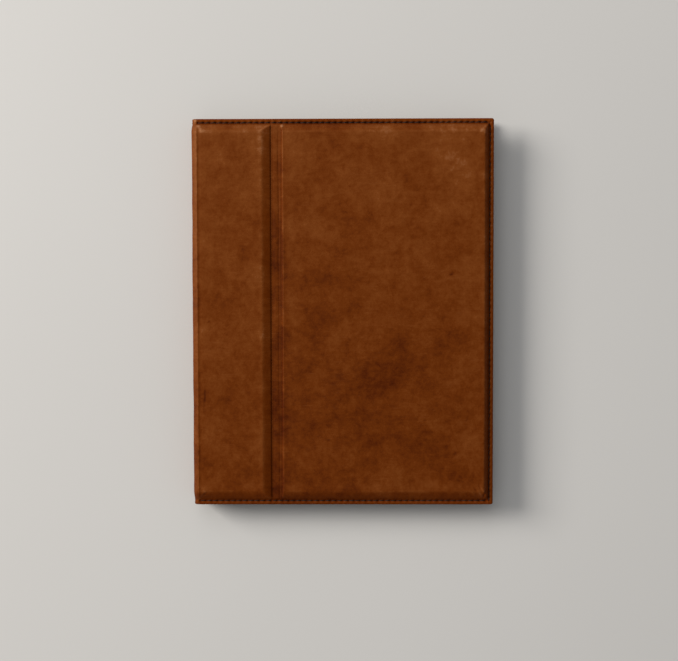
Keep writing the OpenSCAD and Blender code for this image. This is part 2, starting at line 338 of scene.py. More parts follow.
# ---------------------------------------------------------------- materials


class Nodes:
    """A short way to write node trees."""

    def __init__(self, name):
        self.material = bpy.data.materials.new(name)
        self.material.use_nodes = True
        self.tree = self.material.node_tree
        self.tree.nodes.clear()
        self.out = self.tree.nodes.new("ShaderNodeOutputMaterial")

    def put(self, socket, value):
        if isinstance(value, bpy.types.NodeSocket):
            self.tree.links.new(value, socket)
        else:
            socket.default_value = value

    def add(self, kind, inputs=(), **props):
        node = self.tree.nodes.new(kind)
        for key, value in props.items():
            setattr(node, key, value)
        for key, value in dict(inputs).items():
            self.put(node.inputs[key], value)
        return node

    def attribute(self, name, output="Fac"):
        return self.add("ShaderNodeAttribute", attribute_name=name).outputs[output]

    def math(self, op, a, b=0.0, c=0.0, clamp=False):
        return self.add("ShaderNodeMath", {0: a, 1: b, 2: c}, operation=op, use_clamp=clamp).outputs[0]

    def plus(self, value, other, gain, clamp=False):
        """value + other * gain"""
        return self.math("MULTIPLY_ADD", other, gain, value, clamp)

    def spread(self, value, noise, gain, clamp=False):
        """value + (noise - 0.5) * gain"""
        return self.plus(value, self.math("SUBTRACT", noise, 0.5), gain, clamp)

    def over(self, value, start, gain):
        """How far a value is past the start, from 0 to 1."""
        return self.math("MULTIPLY", self.math("SUBTRACT", value, start), gain, clamp=True)

    def scaled_fraction(self, value, scale):
        return self.math("FRACT", self.math("MULTIPLY", value, scale))

    def noise(self, vector, scale, detail=3.0, rough=0.5, distort=0.0):
        inputs = {"Vector": vector, "Scale": scale, "Detail": detail, "Roughness": rough}
        return self.add("ShaderNodeTexNoise", {**inputs, "Distortion": distort}).outputs["Fac"]

    def shift(self, vector, offset=(0, 0, 0), scale=(1, 1, 1), turn=0.0):
        inputs = {"Vector": vector, "Location": offset, "Scale": scale, "Rotation": (0, 0, turn)}
        return self.add("ShaderNodeMapping", inputs).outputs[0]

    def ramp(self, fac, stops):
        node = self.add("ShaderNodeValToRGB", {"Fac": fac})
        elements = node.color_ramp.elements
        while len(elements) < len(stops):
            elements.new(0.5)
        for element, (position, colour) in zip(elements, stops):
            element.position = position
            element.color = (*colour, 1)
        return node.outputs["Color"]

    def mix(self, fac, a, b):
        node = self.add("ShaderNodeMix", data_type="RGBA", clamp_factor=True)
        for slot, value in ((0, fac), (6, a), (7, b)):
            self.put(node.inputs[slot], (*value, 1) if isinstance(value, tuple) else value)
        return node.outputs[2]

    def bump(self, height, distance, strength):
        inputs = {"Height": height, "Distance": distance, "Strength": strength}
        return self.add("ShaderNodeBump", inputs).outputs[0]

    def surface(self, **inputs):
        named = {key.replace("_", " "): value for key, value in inputs.items()}
        shader = self.add("ShaderNodeBsdfPrincipled", named)
        self.tree.links.new(shader.outputs[0], self.out.inputs[0])
        return self.material


def leather_material():
    n = Nodes("cognac_leather")
    flat = n.attribute("flat", "Vector")           # the sheet laid flat, in mm
    wear_and_highlight, shade_and_marks, edge, patina_and_light_gradient = (n.attribute(key) for key in ("wear_and_highlight", "shade_and_marks", "edge", "patina_and_light_gradient"))
    cloud = n.noise(flat, 0.028, 3.0, 0.55, 0.4)
    blotch = n.noise(n.shift(flat, (31, 7, 0)), 0.085, 4.0, 0.6, 0.5)
    mottle = n.noise(n.shift(flat, (5, 90, 0)), 0.26, 4.0, 0.62, 0.3)
    fine = n.noise(n.shift(flat, (3, 3, 9)), 0.95, 3.0, 0.6)
    scrape = n.noise(n.shift(flat, scale=(0.06, 0.9, 1), turn=0.5), 1.0, 3.0, 0.65)
    value = n.spread(0.44, cloud, 0.50)
    for noise, gain in ((blotch, 0.44), (mottle, 0.40), (fine, 0.22), (scrape, 0.10)):
        value = n.spread(value, noise, gain)
    # paler towards the head as painted light from above, over real fading
    value = n.math("ADD", value, patina_and_light_gradient)
    # paler where the leather is rubbed and where highlights are painted on ridges, shoulders and corners
    rub_and_highlight = n.math("MULTIPLY", wear_and_highlight, n.plus(0.3, mottle, 1.25))
    value = n.plus(value, rub_and_highlight, 0.45)
    # darker at the nicks and where shade is painted in grooves, needle holes and creases
    value = n.plus(value, shade_and_marks, -0.42, clamp=True)
    colour = n.ramp(value, [
        (0.0, (0.016, 0.0014, 0.0001)),
        (0.22, (0.066, 0.0088, 0.0005)),
        (0.44, (0.124, 0.0235, 0.0016)),
        (0.66, (0.172, 0.0430, 0.0068)),
        (1.0, (0.330, 0.1350, 0.0560)),
    ])
    # the dyed edge outside the stitches, also laid over the slopes that face away from the light as painted
    # shade
    rim = n.mix(n.plus(mottle, patina_and_light_gradient, 2.2, clamp=True), (0.072, 0.0105, 0.0006), (0.165, 0.031, 0.0022))
    colour = n.mix(n.math("MULTIPLY", edge, 0.7), colour, rim)
    # pores and fine scratches
    cells = n.add("ShaderNodeTexVoronoi", {"Vector": flat, "Scale": 0.42, "Randomness": 1.0})
    in_pore = n.math("LESS_THAN", cells.outputs["Distance"], 0.075)
    speck = n.math("MULTIPLY", in_pore, n.math("GREATER_THAN", blotch, 0.52))
    colour = n.mix(n.math("MULTIPLY", speck, 0.4), colour, (0.05, 0.008, 0.001))
    line = n.noise(n.shift(flat, (40, 11, 0), (0.035, 0.55, 1), -0.65), 1.0, 2.0, 0.5)
    scratch = n.math("MULTIPLY", n.math("COMPARE", line, 0.5, 0.006), n.math("GREATER_THAN", cloud, 0.53))
    colour = n.mix(n.math("MULTIPLY", scratch, 0.14), colour, (0.24, 0.080, 0.022))
    rough = n.plus(n.spread(0.50, mottle, 0.20), wear_and_highlight, -0.07)
    rough = n.plus(rough, shade_and_marks, 0.10, clamp=True)
    grain = n.add("ShaderNodeTexVoronoi", {"Vector": flat, "Scale": 1.55, "Randomness": 0.95},
                  feature="SMOOTH_F1")
    tiny = n.noise(flat, 3.2, 2.0, 0.6)
    height = n.math("MULTIPLY", grain.outputs["Distance"], 0.8)
    for relief, gain in ((tiny, 0.6), (mottle, 1.6), (speck, -0.5)):
        height = n.plus(height, relief, gain)
    polish = n.plus(n.plus(0.16, wear_and_highlight, 0.28), edge, -0.13, clamp=True)
    return n.surface(Base_Color=colour, Roughness=rough, Normal=n.bump(height, 0.00009, 0.55),
                     Specular_IOR_Level=polish, Specular_Tint=(1.0, 0.55, 0.24, 1))


def suede_material():
    n = Nodes("brown_suede")
    flat = n.attribute("flat", "Vector")
    shade_and_marks = n.attribute("shade_and_marks")
    cloud = n.noise(flat, 0.05, 3.0, 0.6, 0.6)
    nap = n.noise(n.shift(flat, scale=(1, 0.45, 1), turn=0.3), 1.4, 4.0, 0.7, 0.5)
    fibre = n.noise(n.shift(flat, (9, 2, 0), (1, 0.3, 1), -0.4), 5.0, 3.0, 0.7)
    value = n.spread(n.spread(n.spread(0.5, cloud, 0.9), nap, 0.5), fibre, 0.5)
    # darker where shade is painted in the seams, along the board's edge and at the fold
    value = n.plus(value, shade_and_marks, -0.5, clamp=True)
    colour = n.ramp(value, [
        (0.0, (0.035, 0.017, 0.008)),
        (0.5, (0.105, 0.053, 0.026)),
        (1.0, (0.215, 0.122, 0.066)),
    ])
    return n.surface(Base_Color=colour, Roughness=n.spread(0.86, nap, 0.16),
                     Normal=n.bump(n.plus(nap, fibre, 0.7), 0.00012, 0.6), Specular_IOR_Level=0.22,
                     Sheen_Weight=0.55, Sheen_Roughness=0.45, Sheen_Tint=(0.85, 0.62, 0.45, 1))


def thread_material():
    n = Nodes("waxed_thread")
    flat = n.attribute("flat", "Vector")           # along the thread, round it, and the stitch's number
    plies = {"Vector": n.shift(flat, scale=(1, 1, 0.02)), "Scale": 0.9, "Distortion": 0.8, "Detail": 2.0,
             "Detail Scale": 2.0}
    wave = n.add("ShaderNodeTexWave", plies, wave_type="BANDS", bands_direction="DIAGONAL")
    twist = wave.outputs["Fac"]
    lint = n.noise(flat, 2.6, 3.0, 0.7)
    wax = n.noise(n.shift(flat, (4, 4, 4)), 0.23, 2.0, 0.5)
    value = n.plus(n.math("MULTIPLY", twist, 0.45), lint, 0.4)
    value = n.spread(value, wax, 0.9, clamp=True)
    colour = n.ramp(value, [
        (0.0, (0.004, 0.002, 0.002)),
        (0.55, (0.012, 0.008, 0.006)),
        (1.0, (0.050, 0.036, 0.030)),
    ])
    return n.surface(Base_Color=colour, Roughness=n.spread(0.40, lint, 0.25),
                     Normal=n.bump(n.plus(twist, lint, 0.3), 0.00008, 0.8), Specular_IOR_Level=0.12)


def nickel_material():
    n = Nodes("nickel_plate")
    at = n.add("ShaderNodeTexCoord").outputs["Object"]
    brush = n.noise(n.shift(at, scale=(2600, 60, 2600)), 1.0, 3.0, 0.6)
    haze = n.noise(at, 90.0, 4.0, 0.6, 0.3)
    pits = n.noise(at, 900.0, 3.0, 0.6)
    colour = n.ramp(n.plus(n.math("MULTIPLY", haze, 0.6), brush, 0.4), [
        (0.25, (0.42, 0.41, 0.39)),
        (0.6, (0.66, 0.65, 0.63)),
        (0.9, (0.78, 0.77, 0.76)),
    ])
    rough = n.spread(n.spread(0.20, haze, 0.35), brush, 0.16, clamp=True)
    height = n.plus(n.math("MULTIPLY", brush, 0.7), pits, 0.5)
    return n.surface(Base_Color=colour, Metallic=1.0, Roughness=rough, Normal=n.bump(height, 0.00001, 0.6))


def board_material(name, light, mid, deep, scale):
    n = Nodes(name)
    at = n.add("ShaderNodeTexCoord").outputs["Object"]
    pulp = n.noise(at, 420.0 * scale, 5.0, 0.7, 0.4)
    fibre = n.noise(n.shift(at, scale=(300, 1800, 900), turn=0.35), scale, 4.0, 0.65)
    cloud = n.noise(at, 35.0, 3.0, 0.5)
    value = n.plus(n.plus(n.math("MULTIPLY", pulp, 0.45), fibre, 0.35), cloud, 0.3)
    colour = n.ramp(value, [(0.3, deep), (0.55, mid), (0.8, light)])
    return n.surface(Base_Color=colour, Roughness=n.spread(0.82, pulp, 0.2),
                     Normal=n.bump(n.math("ADD", pulp, fibre), 0.00005, 0.5), Specular_IOR_Level=0.25)


def film_material():
    n = Nodes("clear_film")
    flat = n.attribute("flat", "Vector")
    weld = n.attribute("weld")                     # 1 where the two films are welded and knurled
    haze = n.noise(flat, 0.09, 4.0, 0.6, 0.5)
    streak = n.noise(n.shift(flat, scale=(0.03, 0.6, 1), turn=0.15), 1.0, 3.0, 0.6)
    knurl = n.add("ShaderNodeTexChecker", {"Vector": flat, "Scale": 1.6}).outputs["Fac"]
    colour = n.ramp(haze, [(0.3, (0.80, 0.84, 0.86)), (0.7, (0.92, 0.94, 0.95))])
    alpha = n.plus(n.plus(0.055, haze, 0.05), weld, 0.34, clamp=True)
    rough = n.plus(n.plus(0.10, streak, 0.12), weld, 0.25, clamp=True)
    height = n.plus(n.math("MULTIPLY", haze, 1.2), n.math("MULTIPLY", knurl, weld), 0.35)
    return n.surface(Base_Color=colour, Alpha=alpha, Roughness=rough, Specular_IOR_Level=0.7,
                     Normal=n.bump(height, 0.00015, 0.5), Coat_Weight=0.3, Coat_Roughness=0.08)


class Landscape:
    """Layers of a made-up landscape, each with its own skyline."""

    def __init__(self, n, u, v, kind):
        self.n = n
        self.v = v
        seed = n.math("MULTIPLY", kind, 37.0)
        across = n.plus(seed, u, 1.5)
        self.spot = n.add("ShaderNodeCombineXYZ", {"X": across, "Y": v, "Z": seed}).outputs[0]
        self.column = n.add("ShaderNodeCombineXYZ", {"X": across, "Y": seed}).outputs[0]
        lie = n.math("SUBTRACT", n.scaled_fraction(kind, 11.7), 0.5)
        self.high_ground = n.math("MULTIPLY", lie, 0.22)

    def layer(self, under, level, height, scale, shift, tone_a, tone_b):
        """Ground up to a skyline at the level, over what is behind it."""
        n = self.n
        ridge = n.noise(n.shift(self.column, (shift, 0, 0)), scale, 5.0, 0.55)
        skyline = n.spread(n.plus(level, self.high_ground, level * 1.6), ridge, height)
        inside = n.math("MULTIPLY", n.math("SUBTRACT", skyline, self.v), 90.0, clamp=True)
        tone = n.noise(n.shift(self.spot, (shift, 2, 0), (6, 16, 1)), 1.0, 5.0, 0.65)
        return n.mix(inside, under, n.mix(tone, tone_a, tone_b))


def print_material():
    """Photo prints: a white border round a made-up landscape that differs from print to print."""
    n = Nodes("photo_prints")
    at = n.attribute("picture", "Vector")          # 0 to 1 across and up the print
    kind = n.attribute("kind")                     # 0 to 1, a number for each print
    parts = n.add("ShaderNodeSeparateXYZ", {"Vector": at})
    u, v = parts.outputs[0], parts.outputs[1]
    land = Landscape(n, u, v, kind)
    warm = n.scaled_fraction(kind, 4.7)
    low = n.ramp(warm, [(0.1, (0.62, 0.72, 0.82)), (0.5, (0.80, 0.74, 0.66)), (0.9, (0.85, 0.46, 0.20))])
    high = n.ramp(warm, [(0.1, (0.10, 0.24, 0.52)), (0.5, (0.20, 0.34, 0.52)), (0.9, (0.22, 0.17, 0.34))])
    sky = n.mix(n.over(v, 0.4, 1.7), low, high)
    cloud = n.noise(n.shift(land.spot, scale=(2.2, 6.5, 1)), 1.0, 6.0, 0.6, 0.6)
    sky = n.mix(n.over(cloud, 0.52, 4.0), sky, (0.88, 0.86, 0.83))
    hills = land.layer(sky, 0.56, 0.42, 2.0, 3.0, (0.20, 0.26, 0.34), (0.33, 0.39, 0.46))
    hills = land.layer(hills, 0.44, 0.30, 3.1, 9.0, (0.07, 0.13, 0.10), (0.17, 0.24, 0.15))
    glint = n.noise(n.shift(land.spot, scale=(4, 46, 1)), 1.0, 4.0, 0.6)
    water = n.mix(n.over(glint, 0.48, 5.0), (0.09, 0.20, 0.27), low)
    in_water = n.math("MULTIPLY", n.math("SUBTRACT", 0.33, v), 120.0, clamp=True)
    lake = n.mix(in_water, hills, water)
    field = land.layer(hills, 0.33, 0.05, 4.0, 21.0, (0.14, 0.19, 0.05), (0.40, 0.38, 0.13))
    scene = n.mix(n.math("GREATER_THAN", n.scaled_fraction(kind, 3.1), 0.5), field, lake)
    scene = land.layer(scene, 0.13, 0.26, 2.6, 33.0, (0.035, 0.05, 0.025), (0.12, 0.13, 0.05))
    from_side = n.math("MINIMUM", u, n.math("SUBTRACT", 1.0, u))
    from_end = n.math("MULTIPLY", n.math("MINIMUM", v, n.math("SUBTRACT", 1.0, v)), 0.671)
    inside = n.over(n.math("MINIMUM", from_side, from_end), 0.026, 400.0)
    paper = n.ramp(n.noise(land.spot, 60.0, 3.0, 0.6), [(0.3, (0.74, 0.73, 0.70)), (0.7, (0.80, 0.79, 0.77))])
    satin = n.noise(land.spot, 140.0, 2.0, 0.5)
    return n.surface(Base_Color=n.mix(inside, paper, scene), Roughness=n.plus(0.24, satin, 0.12),
                     Normal=n.bump(satin, 0.00001, 0.4), Specular_IOR_Level=0.55)


def floor_material():
    n = Nodes("pale_floor")
    at = n.add("ShaderNodeTexCoord").outputs["Object"]
    colour = n.ramp(n.noise(at, 2.0, 2.0, 0.5), [(0.2, (0.60, 0.58, 0.55)), (0.8, (0.63, 0.61, 0.58))])
    return n.surface(Base_Color=colour, Roughness=0.9, Specular_IOR_Level=0.1)


LEATHER_MAT = leather_material()
SUEDE = suede_material()
THREAD = thread_material()
NICKEL = nickel_material()
GREYBOARD = board_material("greyboard", light=(0.40, 0.38, 0.35), mid=(0.27, 0.26, 0.24),
                           deep=(0.15, 0.14, 0.13), scale=1.0)
BLACK_CARD = board_material("black_card", light=(0.035, 0.034, 0.036), mid=(0.018, 0.017, 0.018),
                            deep=(0.008, 0.008, 0.008), scale=1.6)
FILM = film_material()
PRINTS = print_material()


# ---------------------------------------------------------------- leather, one sheet round the album

# creases at the corners and along the seams: x0, y0, x1, y1, width, depth; pressed ones get painted shade,
# and raised ones, where the depth is negative, a painted highlight
FOLDS = [
    (178.3, -117.8, 179.5, -120.4, 0.40, 0.28), (183.2, -114.4, 185.4, -116.8, 0.50, 0.18),
    (186.4, -112.0, 187.8, -115.6, 0.65, 0.16), (192.0, -114.0, 189.5, -121.6, 0.55, 0.30),
    (190.3, -116.8, 188.7, -120.8, 0.45, 0.20), (181.0, -118.6, 182.6, -121.2, 0.45, 0.14),
    (185.4, -115.6, 189.8, -121.4, 0.90, -0.24), (187.4, -113.6, 191.4, -118.8, 0.65, -0.15),
    (182.0, -116.8, 185.0, -120.6, 0.70, -0.12), (176.0, -119.4, 177.6, -121.4, 0.60, 0.12),
    (186.8, 117.0, 191.0, 121.6, 0.80, -0.14), (189.6, 113.4, 192.0, 117.6, 0.55, 0.12),
    (3.4, 122.0, 8.2, 115.4, 1.40, -0.11), (3.6, -121.6, 8.0, -115.0, 1.00, -0.14),
    (5.6, -119.6, 9.4, -117.4, 0.60, 0.14), (44.0, 117.4, 50.0, 122.0, 1.00, -0.10),
    (44.4, -116.4, 49.8, -121.8, 0.90, -0.12), (58.6, 121.8, 58.6, 119.4, 0.75, -0.24),
    (58.8, -118.6, 58.8, -121.8, 0.70, -0.14), (60.4, -119.4, 63.4, -121.8, 0.55, 0.12),
    (193.6, -122.8, 193.9, -125.9, 0.35, 0.26), (191.6, -124.4, 193.2, -125.4, 0.40, 0.12),
]
# nicks on the front: x, y, long, wide, turn, strength; pale spots of painted highlight where the strength is
# negative
MARKS = [
    (168.5, 25.0, 1.6, 0.9, 0.4, 0.9), (7.6, -55.5, 6.0, 0.45, 1.5, 0.7),
    (10.9, -5.5, 0.9, 0.7, 0.0, 0.7), (88.5, -83.0, 1.0, 0.8, 0.0, 0.7),
    (171.0, -92.0, 2.0, 1.2, 0.8, 0.55), (142.0, 70.0, 1.3, 0.6, 0.9, 0.35),
    (120.0, -33.0, 3.6, 0.5, 2.4, 0.35), (33.0, 41.0, 2.6, 0.5, 1.9, 0.35),
    (76.0, 12.0, 2.4, 0.5, 0.7, 0.3), (151.0, -70.0, 1.2, 0.6, 0.2, 0.45),
    (99.0, 96.0, 1.6, 0.5, 1.2, 0.3), (181.0, 58.0, 1.1, 0.6, 0.6, 0.35),
    (58.5, 121.4, 1.0, 0.8, 1.57, -1.3), (4.3, 121.2, 0.9, 0.8, 0.0, -1.1),
    (2.9, 124.6, 1.3, 1.0, 0.0, -0.9), (5.6, 119.0, 2.6, 1.2, -0.9, -0.3),
    (57.6, 124.2, 0.8, 0.7, 0.0, -0.5), (3.4, -122.6, 1.2, 0.9, 0.0, -0.6),
]


def cover_lines(kind):
    """The grid's lines over a cover: closer beside the crease, at the spine's corner and at the fore edge."""
    start = GROOVE_X if kind == "panel" else CORNER_X
    end = GROOVE_X if kind == "strip" else W
    fine = {"back": [], "strip": [(43.5, GROOVE_X), (CORNER_X, 6)], "panel": [(GROOVE_X, 62.5)]}[kind]
    lines = lattice(start, end, fine + [(183, W)])
    beside_crease = (0.1, 0.2, 0.32, 0.45, 0.6)
    if kind == "strip":
        lines |= {GROOVE_X - k for k in beside_crease}
    else:
        lines |= {W - r for r in ROLL}
    if kind == "panel":
        lines |= {GROOVE_X + k for k in beside_crease}
        lines |= {RIDGE_X + k for k in (0.1, 0.25, 0.4, 0.6, 0.8, 1.0)}
    return thin(sorted(v for v in lines if kept(W - v)))


def cover_path(kind, spine_steps=22, arc_steps=10):
    """The path across a cover, as columns: how far along when flat, padded x and z, and the seam's x and z.

    The panel starts at the crease. The others start at the middle of the spine and go round its corner.
    """
    over = [(x, x, T, x, T - SEAM) for x in cover_lines(kind)]
    if kind == "panel":
        return np.array(over)
    rows = []
    mid = T / 2
    top_pad, top_seam = T - CORNER, T - SEAM - SEAM_CORNER
    start = CORNER_X - ARC
    for k in range(spine_steps):
        f = k / spine_steps
        rows.append((start - (1 - f) * (top_pad - mid), 0.0, mid + f * (top_pad - mid),
                     SEAM_INSET, mid + f * (top_seam - mid)))
    for k in range(arc_steps):
        a = math.pi / 2 * k / arc_steps
        across, up = 1 - math.cos(a) ** 1.4, math.sin(a) ** 1.4       # flatter than a circle
        seam_x = CORNER_X - (CORNER_X - SEAM_INSET) * math.cos(a)
        rows.append((start + CORNER * a, CORNER_X * across, top_pad + CORNER * up,
                     seam_x, top_seam + SEAM_CORNER * math.sin(a)))
    return np.array(rows + over)


def padding_x(kind, s):
    """How high the padding stands because of the crease and the fore edge, 0 at the seam to 1."""
    if kind == "strip":                            # a steep foot, then an even slope
        d = GROOVE_X - 0.35 - s
        return np.minimum(1, BAND + 0.13 * rise(d, 0.5, 2.0) + (0.87 - BAND) * rise(d, 6.0, 1.12))
    high = np.minimum(1, rise(W - FOOT - s, 3.4))
    if kind == "panel":
        high = np.minimum(high, np.maximum(rise(s - RIDGE_X, 1.3, 1.5), BAND))
    return high


def padding_y(kind, y):
    """The same for the seams at head and tail."""
    head, tail = (4.2, 4.2) if kind == "back" else (6.0, 6.6)
    return np.minimum(rise(HALF - FOOT - y, head), rise(HALF - FOOT + y, tail, 1.55))


class Cover:
    """The grid of the leather of the back, the strip or the panel, and what is laid over it.

    The back is worked out as if it were on the front, and turned over last.
    """

    def __init__(self, kind):
        self.kind = kind
        self.front = kind != "back"
        self.tag = 0 if self.front else 40         # gives the back its own noise
        self.path = cover_path(kind)
        self.s, self.y = np.broadcast_arrays(self.path[:, 0][:, None], Y[None, :])
        self.high_x = padding_x(kind, self.s)
        self.high_y = padding_y(kind, self.y)
        self.high = smooth_min(self.high_x, self.high_y, 0.08)
        self.pad = np.clip(self.high, 0, 1)
        self.border = np.clip(1 - self.high * 12, 0, 1)
        self.base = sheet_points(self.path, self.y, self.high)
        self.normals = grid_normals(self.base)
        self.fore, self.edge = edge_distances(kind, self.s, self.y)
        self.foot_x = np.clip(self.fore - FOOT, 0, None)
        self.foot_y = np.clip(HALF - FOOT - np.abs(self.y), 0, None)
        self.on_cover = self.s >= CORNER_X - 1e-6
        self.stitched = (self.s > 3.2) | (self.s < -4.4)      # no stitches over the spine's corner
        # one flat sheet, from the back cover to the front
        self.laid = self.s if self.front else 2 * self.path[0, 0] - self.s
        self.relief = np.zeros_like(self.s)
        # paler for rubbing and for painted highlights, darker for nicks and for painted shade
        self.wear_and_highlight = np.zeros_like(self.s)
        self.shade_and_marks = np.zeros_like(self.s)

    def noise(self, cell, seed):
        return noise2(self.s, self.y, cell, seed)


def soft_relief(c):
    """Slow waves over the padding, and puckers along its foot."""
    s, y, tag = c.s, c.y, c.tag
    waves = 0.16 * c.noise(31, 3 + tag) + 0.09 * c.noise(12, 4 + tag) + 0.035 * c.noise(4.5, 5 + tag)
    c.relief += waves * c.pad * (1 if c.kind == "panel" else rise(s - c.path[0, 0], 6.0))
    along_x = noise1(s + 3 * noise1(y, 9, 8), 3.1, 11 + tag)
    along_x = along_x + 0.7 * noise1(s + np.sign(y) * 40, 7.5, 12 + tag)
    along_y = noise1(y + 2 * noise1(s, 9, 9), 3.3, 13 + tag)
    along_y = along_y + 0.7 * noise1(y, 8.0, 14 + tag)
    for along, foot in ((along_x, c.foot_y), (along_y, c.foot_x)):
        c.relief += 0.10 * along * np.exp(-foot / 3.0) * np.clip(foot / 0.8, 0, 1)


def seam(c):
    """A crown outside the stitches, a pressed groove, a pit at each needle hole and a puff between them.
    Groove, pits and the padding's foot get painted shade, and the puffs are made paler.
    """
    sewn = c.border * c.stitched
    travel, phase = along_seam(c.fore, c.s, c.y)
    groove = bell(c.edge - STITCH, 0.5) * sewn
    pit = bell(phase, 0.75) * bell(c.edge - STITCH + 0.1, 0.75) * sewn
    puff = bell(phase - PITCH / 2, 0.95) * bell(c.edge - 1.6, 0.75) * sewn
    c.relief += c.border * (0.14 * bell(c.edge - 1.15, 0.75) + 0.05 * noise1(travel, 5.5, 15 + c.tag))
    c.relief += 0.22 * puff - 0.30 * groove - 0.42 * pit
    c.wear_and_highlight += 0.30 * puff
    # painted shade in the groove, in the needle holes and at the padding's foot
    c.shade_and_marks += 0.5 * groove + 1.1 * pit
    c.shade_and_marks += 0.35 * bell(c.edge - FOOT, 0.55) * (1 - 0.5 * c.pad) * c.on_cover


def spine_shoulder(c):
    """A raised line at the spine's corner, rubbed pale and paler still as a painted highlight, and a shallow
    dip behind it. The spine's rounded corner gets a painted highlight too.
    """
    c.relief += c.pad * (0.14 + 0.06 * noise1(c.y, 5, 16)) * bell(c.s - 3.4, 0.42)
    c.relief -= c.pad * (0.09 + 0.04 * noise1(c.y, 22, 17)) * bell(c.s - 4.9, 0.9)
    speckle = np.clip(0.5 + noise1(c.y, 1.7, 31) + 0.6 * noise1(c.y, 9, 34), 0, 1.4)
    # painted highlight along the shoulder, partly rubbed wear
    c.wear_and_highlight += 0.32 * speckle * bell(c.s - 3.3, 0.45) * c.pad
    c.wear_and_highlight += 0.22 * np.clip((3.5 - c.s) / 0.6, 0, 1) * bell(c.s - 1.6, 2.6)


def crease(c):
    """The sharp line beside the strip, on both sheets that meet in it, with painted shade in it."""
    inside_ends = rise(HALF - FOOT - np.abs(c.y), 1.2)
    c.relief -= 0.20 * bell(c.s - GROOVE_X, 0.22) * (0.12 + 0.88 * inside_ends)
    c.shade_and_marks += 0.10 * bell(c.s - GROOVE_X, 0.30) * inside_ends


def crease_band(c):
    """The flat band between the sharp line and the panel's padding, which is the working fold. The band, the
    foot of the padding and the padding just beyond get painted shade; the padding's edge gets spots of
    painted highlight, and the panel further on is made paler as painted light.
    """
    s, y = c.s, c.y
    inside_ends = rise(HALF - FOOT - np.abs(y), 1.2)
    band = np.clip(1 - rise(s - RIDGE_X, 1.3, 1.5) * 10, 0, 1) * inside_ends
    wave = 0.16 * noise1(y, 17, 21) + 0.08 * noise1(y, 6, 22)
    c.relief += band * (0.05 + 0.04 * noise1(y, 9, 23)) * bell(s - 54.3 - wave, 0.75)
    c.relief -= band * (0.17 + 0.09 * noise1(y, 11, 24)) * bell(s - 56.2 + wave, 0.42)
    c.relief -= band * 0.08 * bell(s - 52.5, 0.4)
    c.relief += c.pad * (0.05 + 0.04 * noise1(y, 13, 25)) * bell(s - RIDGE_X - 1.4, 0.7)
    spots = np.clip(noise1(y, 7, 26) + 0.45 * noise1(y, 2.2, 30) - 0.1, 0, 1)
    # spots of painted highlight along the padding's edge, and painted light further over the panel
    c.wear_and_highlight += 0.40 * spots * bell(s - RIDGE_X - 1.1, 0.8) * c.pad
    c.wear_and_highlight += 0.12 * bell(s - RIDGE_X - 6, 5) * c.pad * np.clip(0.6 + c.noise(9, 36), 0, 1)
    # painted shade in the band, at the padding's foot and just beyond it
    c.shade_and_marks += band * (0.20 * bell(s - 56.2 + wave, 0.5) + 0.10 * bell(s - 53.2, 1.2) + 0.17)
    c.shade_and_marks += 0.38 * bell(s - RIDGE_X - 0.5, 0.8) * inside_ends
    c.shade_and_marks += 0.16 * bell(s - RIDGE_X - 3.0, 2.2) * c.pad


def corner_folds(c):
    """Pressed creases have a lip and get painted shade. Where the depth is negative, it is a raised fold
    instead, made paler as a painted highlight.
    """
    for x0, y0, x1, y1, wide, deep in FOLDS:
        if (x0 < GROOVE_X) != (c.kind == "strip"):
            continue
        d, t = segment_distance(c.s, c.y, x0, y0, x1, y1)
        d = d + 0.15 * noise1(t * 6 + x0, 1.0, 28)
        fade = np.sin(np.clip(t, 0.02, 0.98) * math.pi) ** 0.5
        c.relief -= deep * bell(d, wide) * fade
        if deep > 0:
            c.relief += 0.45 * deep * bell(d - 1.3 * wide, wide) * fade
            c.shade_and_marks += 2.2 * deep * bell(d, wide * 0.9) * fade
        else:
            c.wear_and_highlight -= 2.4 * deep * bell(d, wide * 0.8) * fade * (0.75 + 0.5 * c.noise(1.6, 29))


def nicks_and_highlights(c):
    for x, y, long, wide, angle, strength in MARKS:
        dx, dy = c.s - x, c.y - y
        a = dx * math.cos(angle) + dy * math.sin(angle)
        b = -dx * math.sin(angle) + dy * math.cos(angle)
        spot = np.exp(-((a / long) ** 2) - ((b / wide) ** 2))
        c.shade_and_marks += max(strength, 0) * spot
        # pale spots of painted highlight where the strength is negative
        c.wear_and_highlight += max(-strength, 0) * spot
        c.relief -= 0.08 * strength * spot


def rubbed_and_highlit_places(c):
    """Painted highlights on the padding's shoulders, along the head and at the corners, and wear along the
    tail.
    """
    lip = bell(c.high - 0.97, 0.075) * (c.high < 0.9995) * c.on_cover
    # painted highlight on the padding's shoulders
    c.wear_and_highlight += lip * (0.10 + 0.12 * c.noise(5.0, 32 + c.tag))
    head = bell(HALF - FOOT - 3.5 - c.y, 5.0) * np.clip(0.7 + c.noise(11, 37), 0, 1.2)
    # painted light along the head
    c.wear_and_highlight += 0.16 * head * c.on_cover * (1 - c.border)
    tail = bell(HALF - FOOT - 9 + c.y, 3.0) * np.clip(0.5 + c.noise(7.0, 35), 0, 1)
    c.wear_and_highlight += 0.20 * tail * c.pad
    beside = bell(c.s - 6.0, 4.0) if c.kind == "strip" else bell(c.foot_x - 3.5, 4.0)
    # painted highlight at the corners
    c.wear_and_highlight += 0.30 * bell(c.foot_y - 3.5, 4.0) * beside * (0.6 + 0.6 * c.noise(2.6, 33)) * c.pad
    if c.kind == "strip":
        # a faint painted highlight on the strip's lip
        c.wear_and_highlight += 0.10 * bell(c.s - 44.6, 1.5) * c.pad


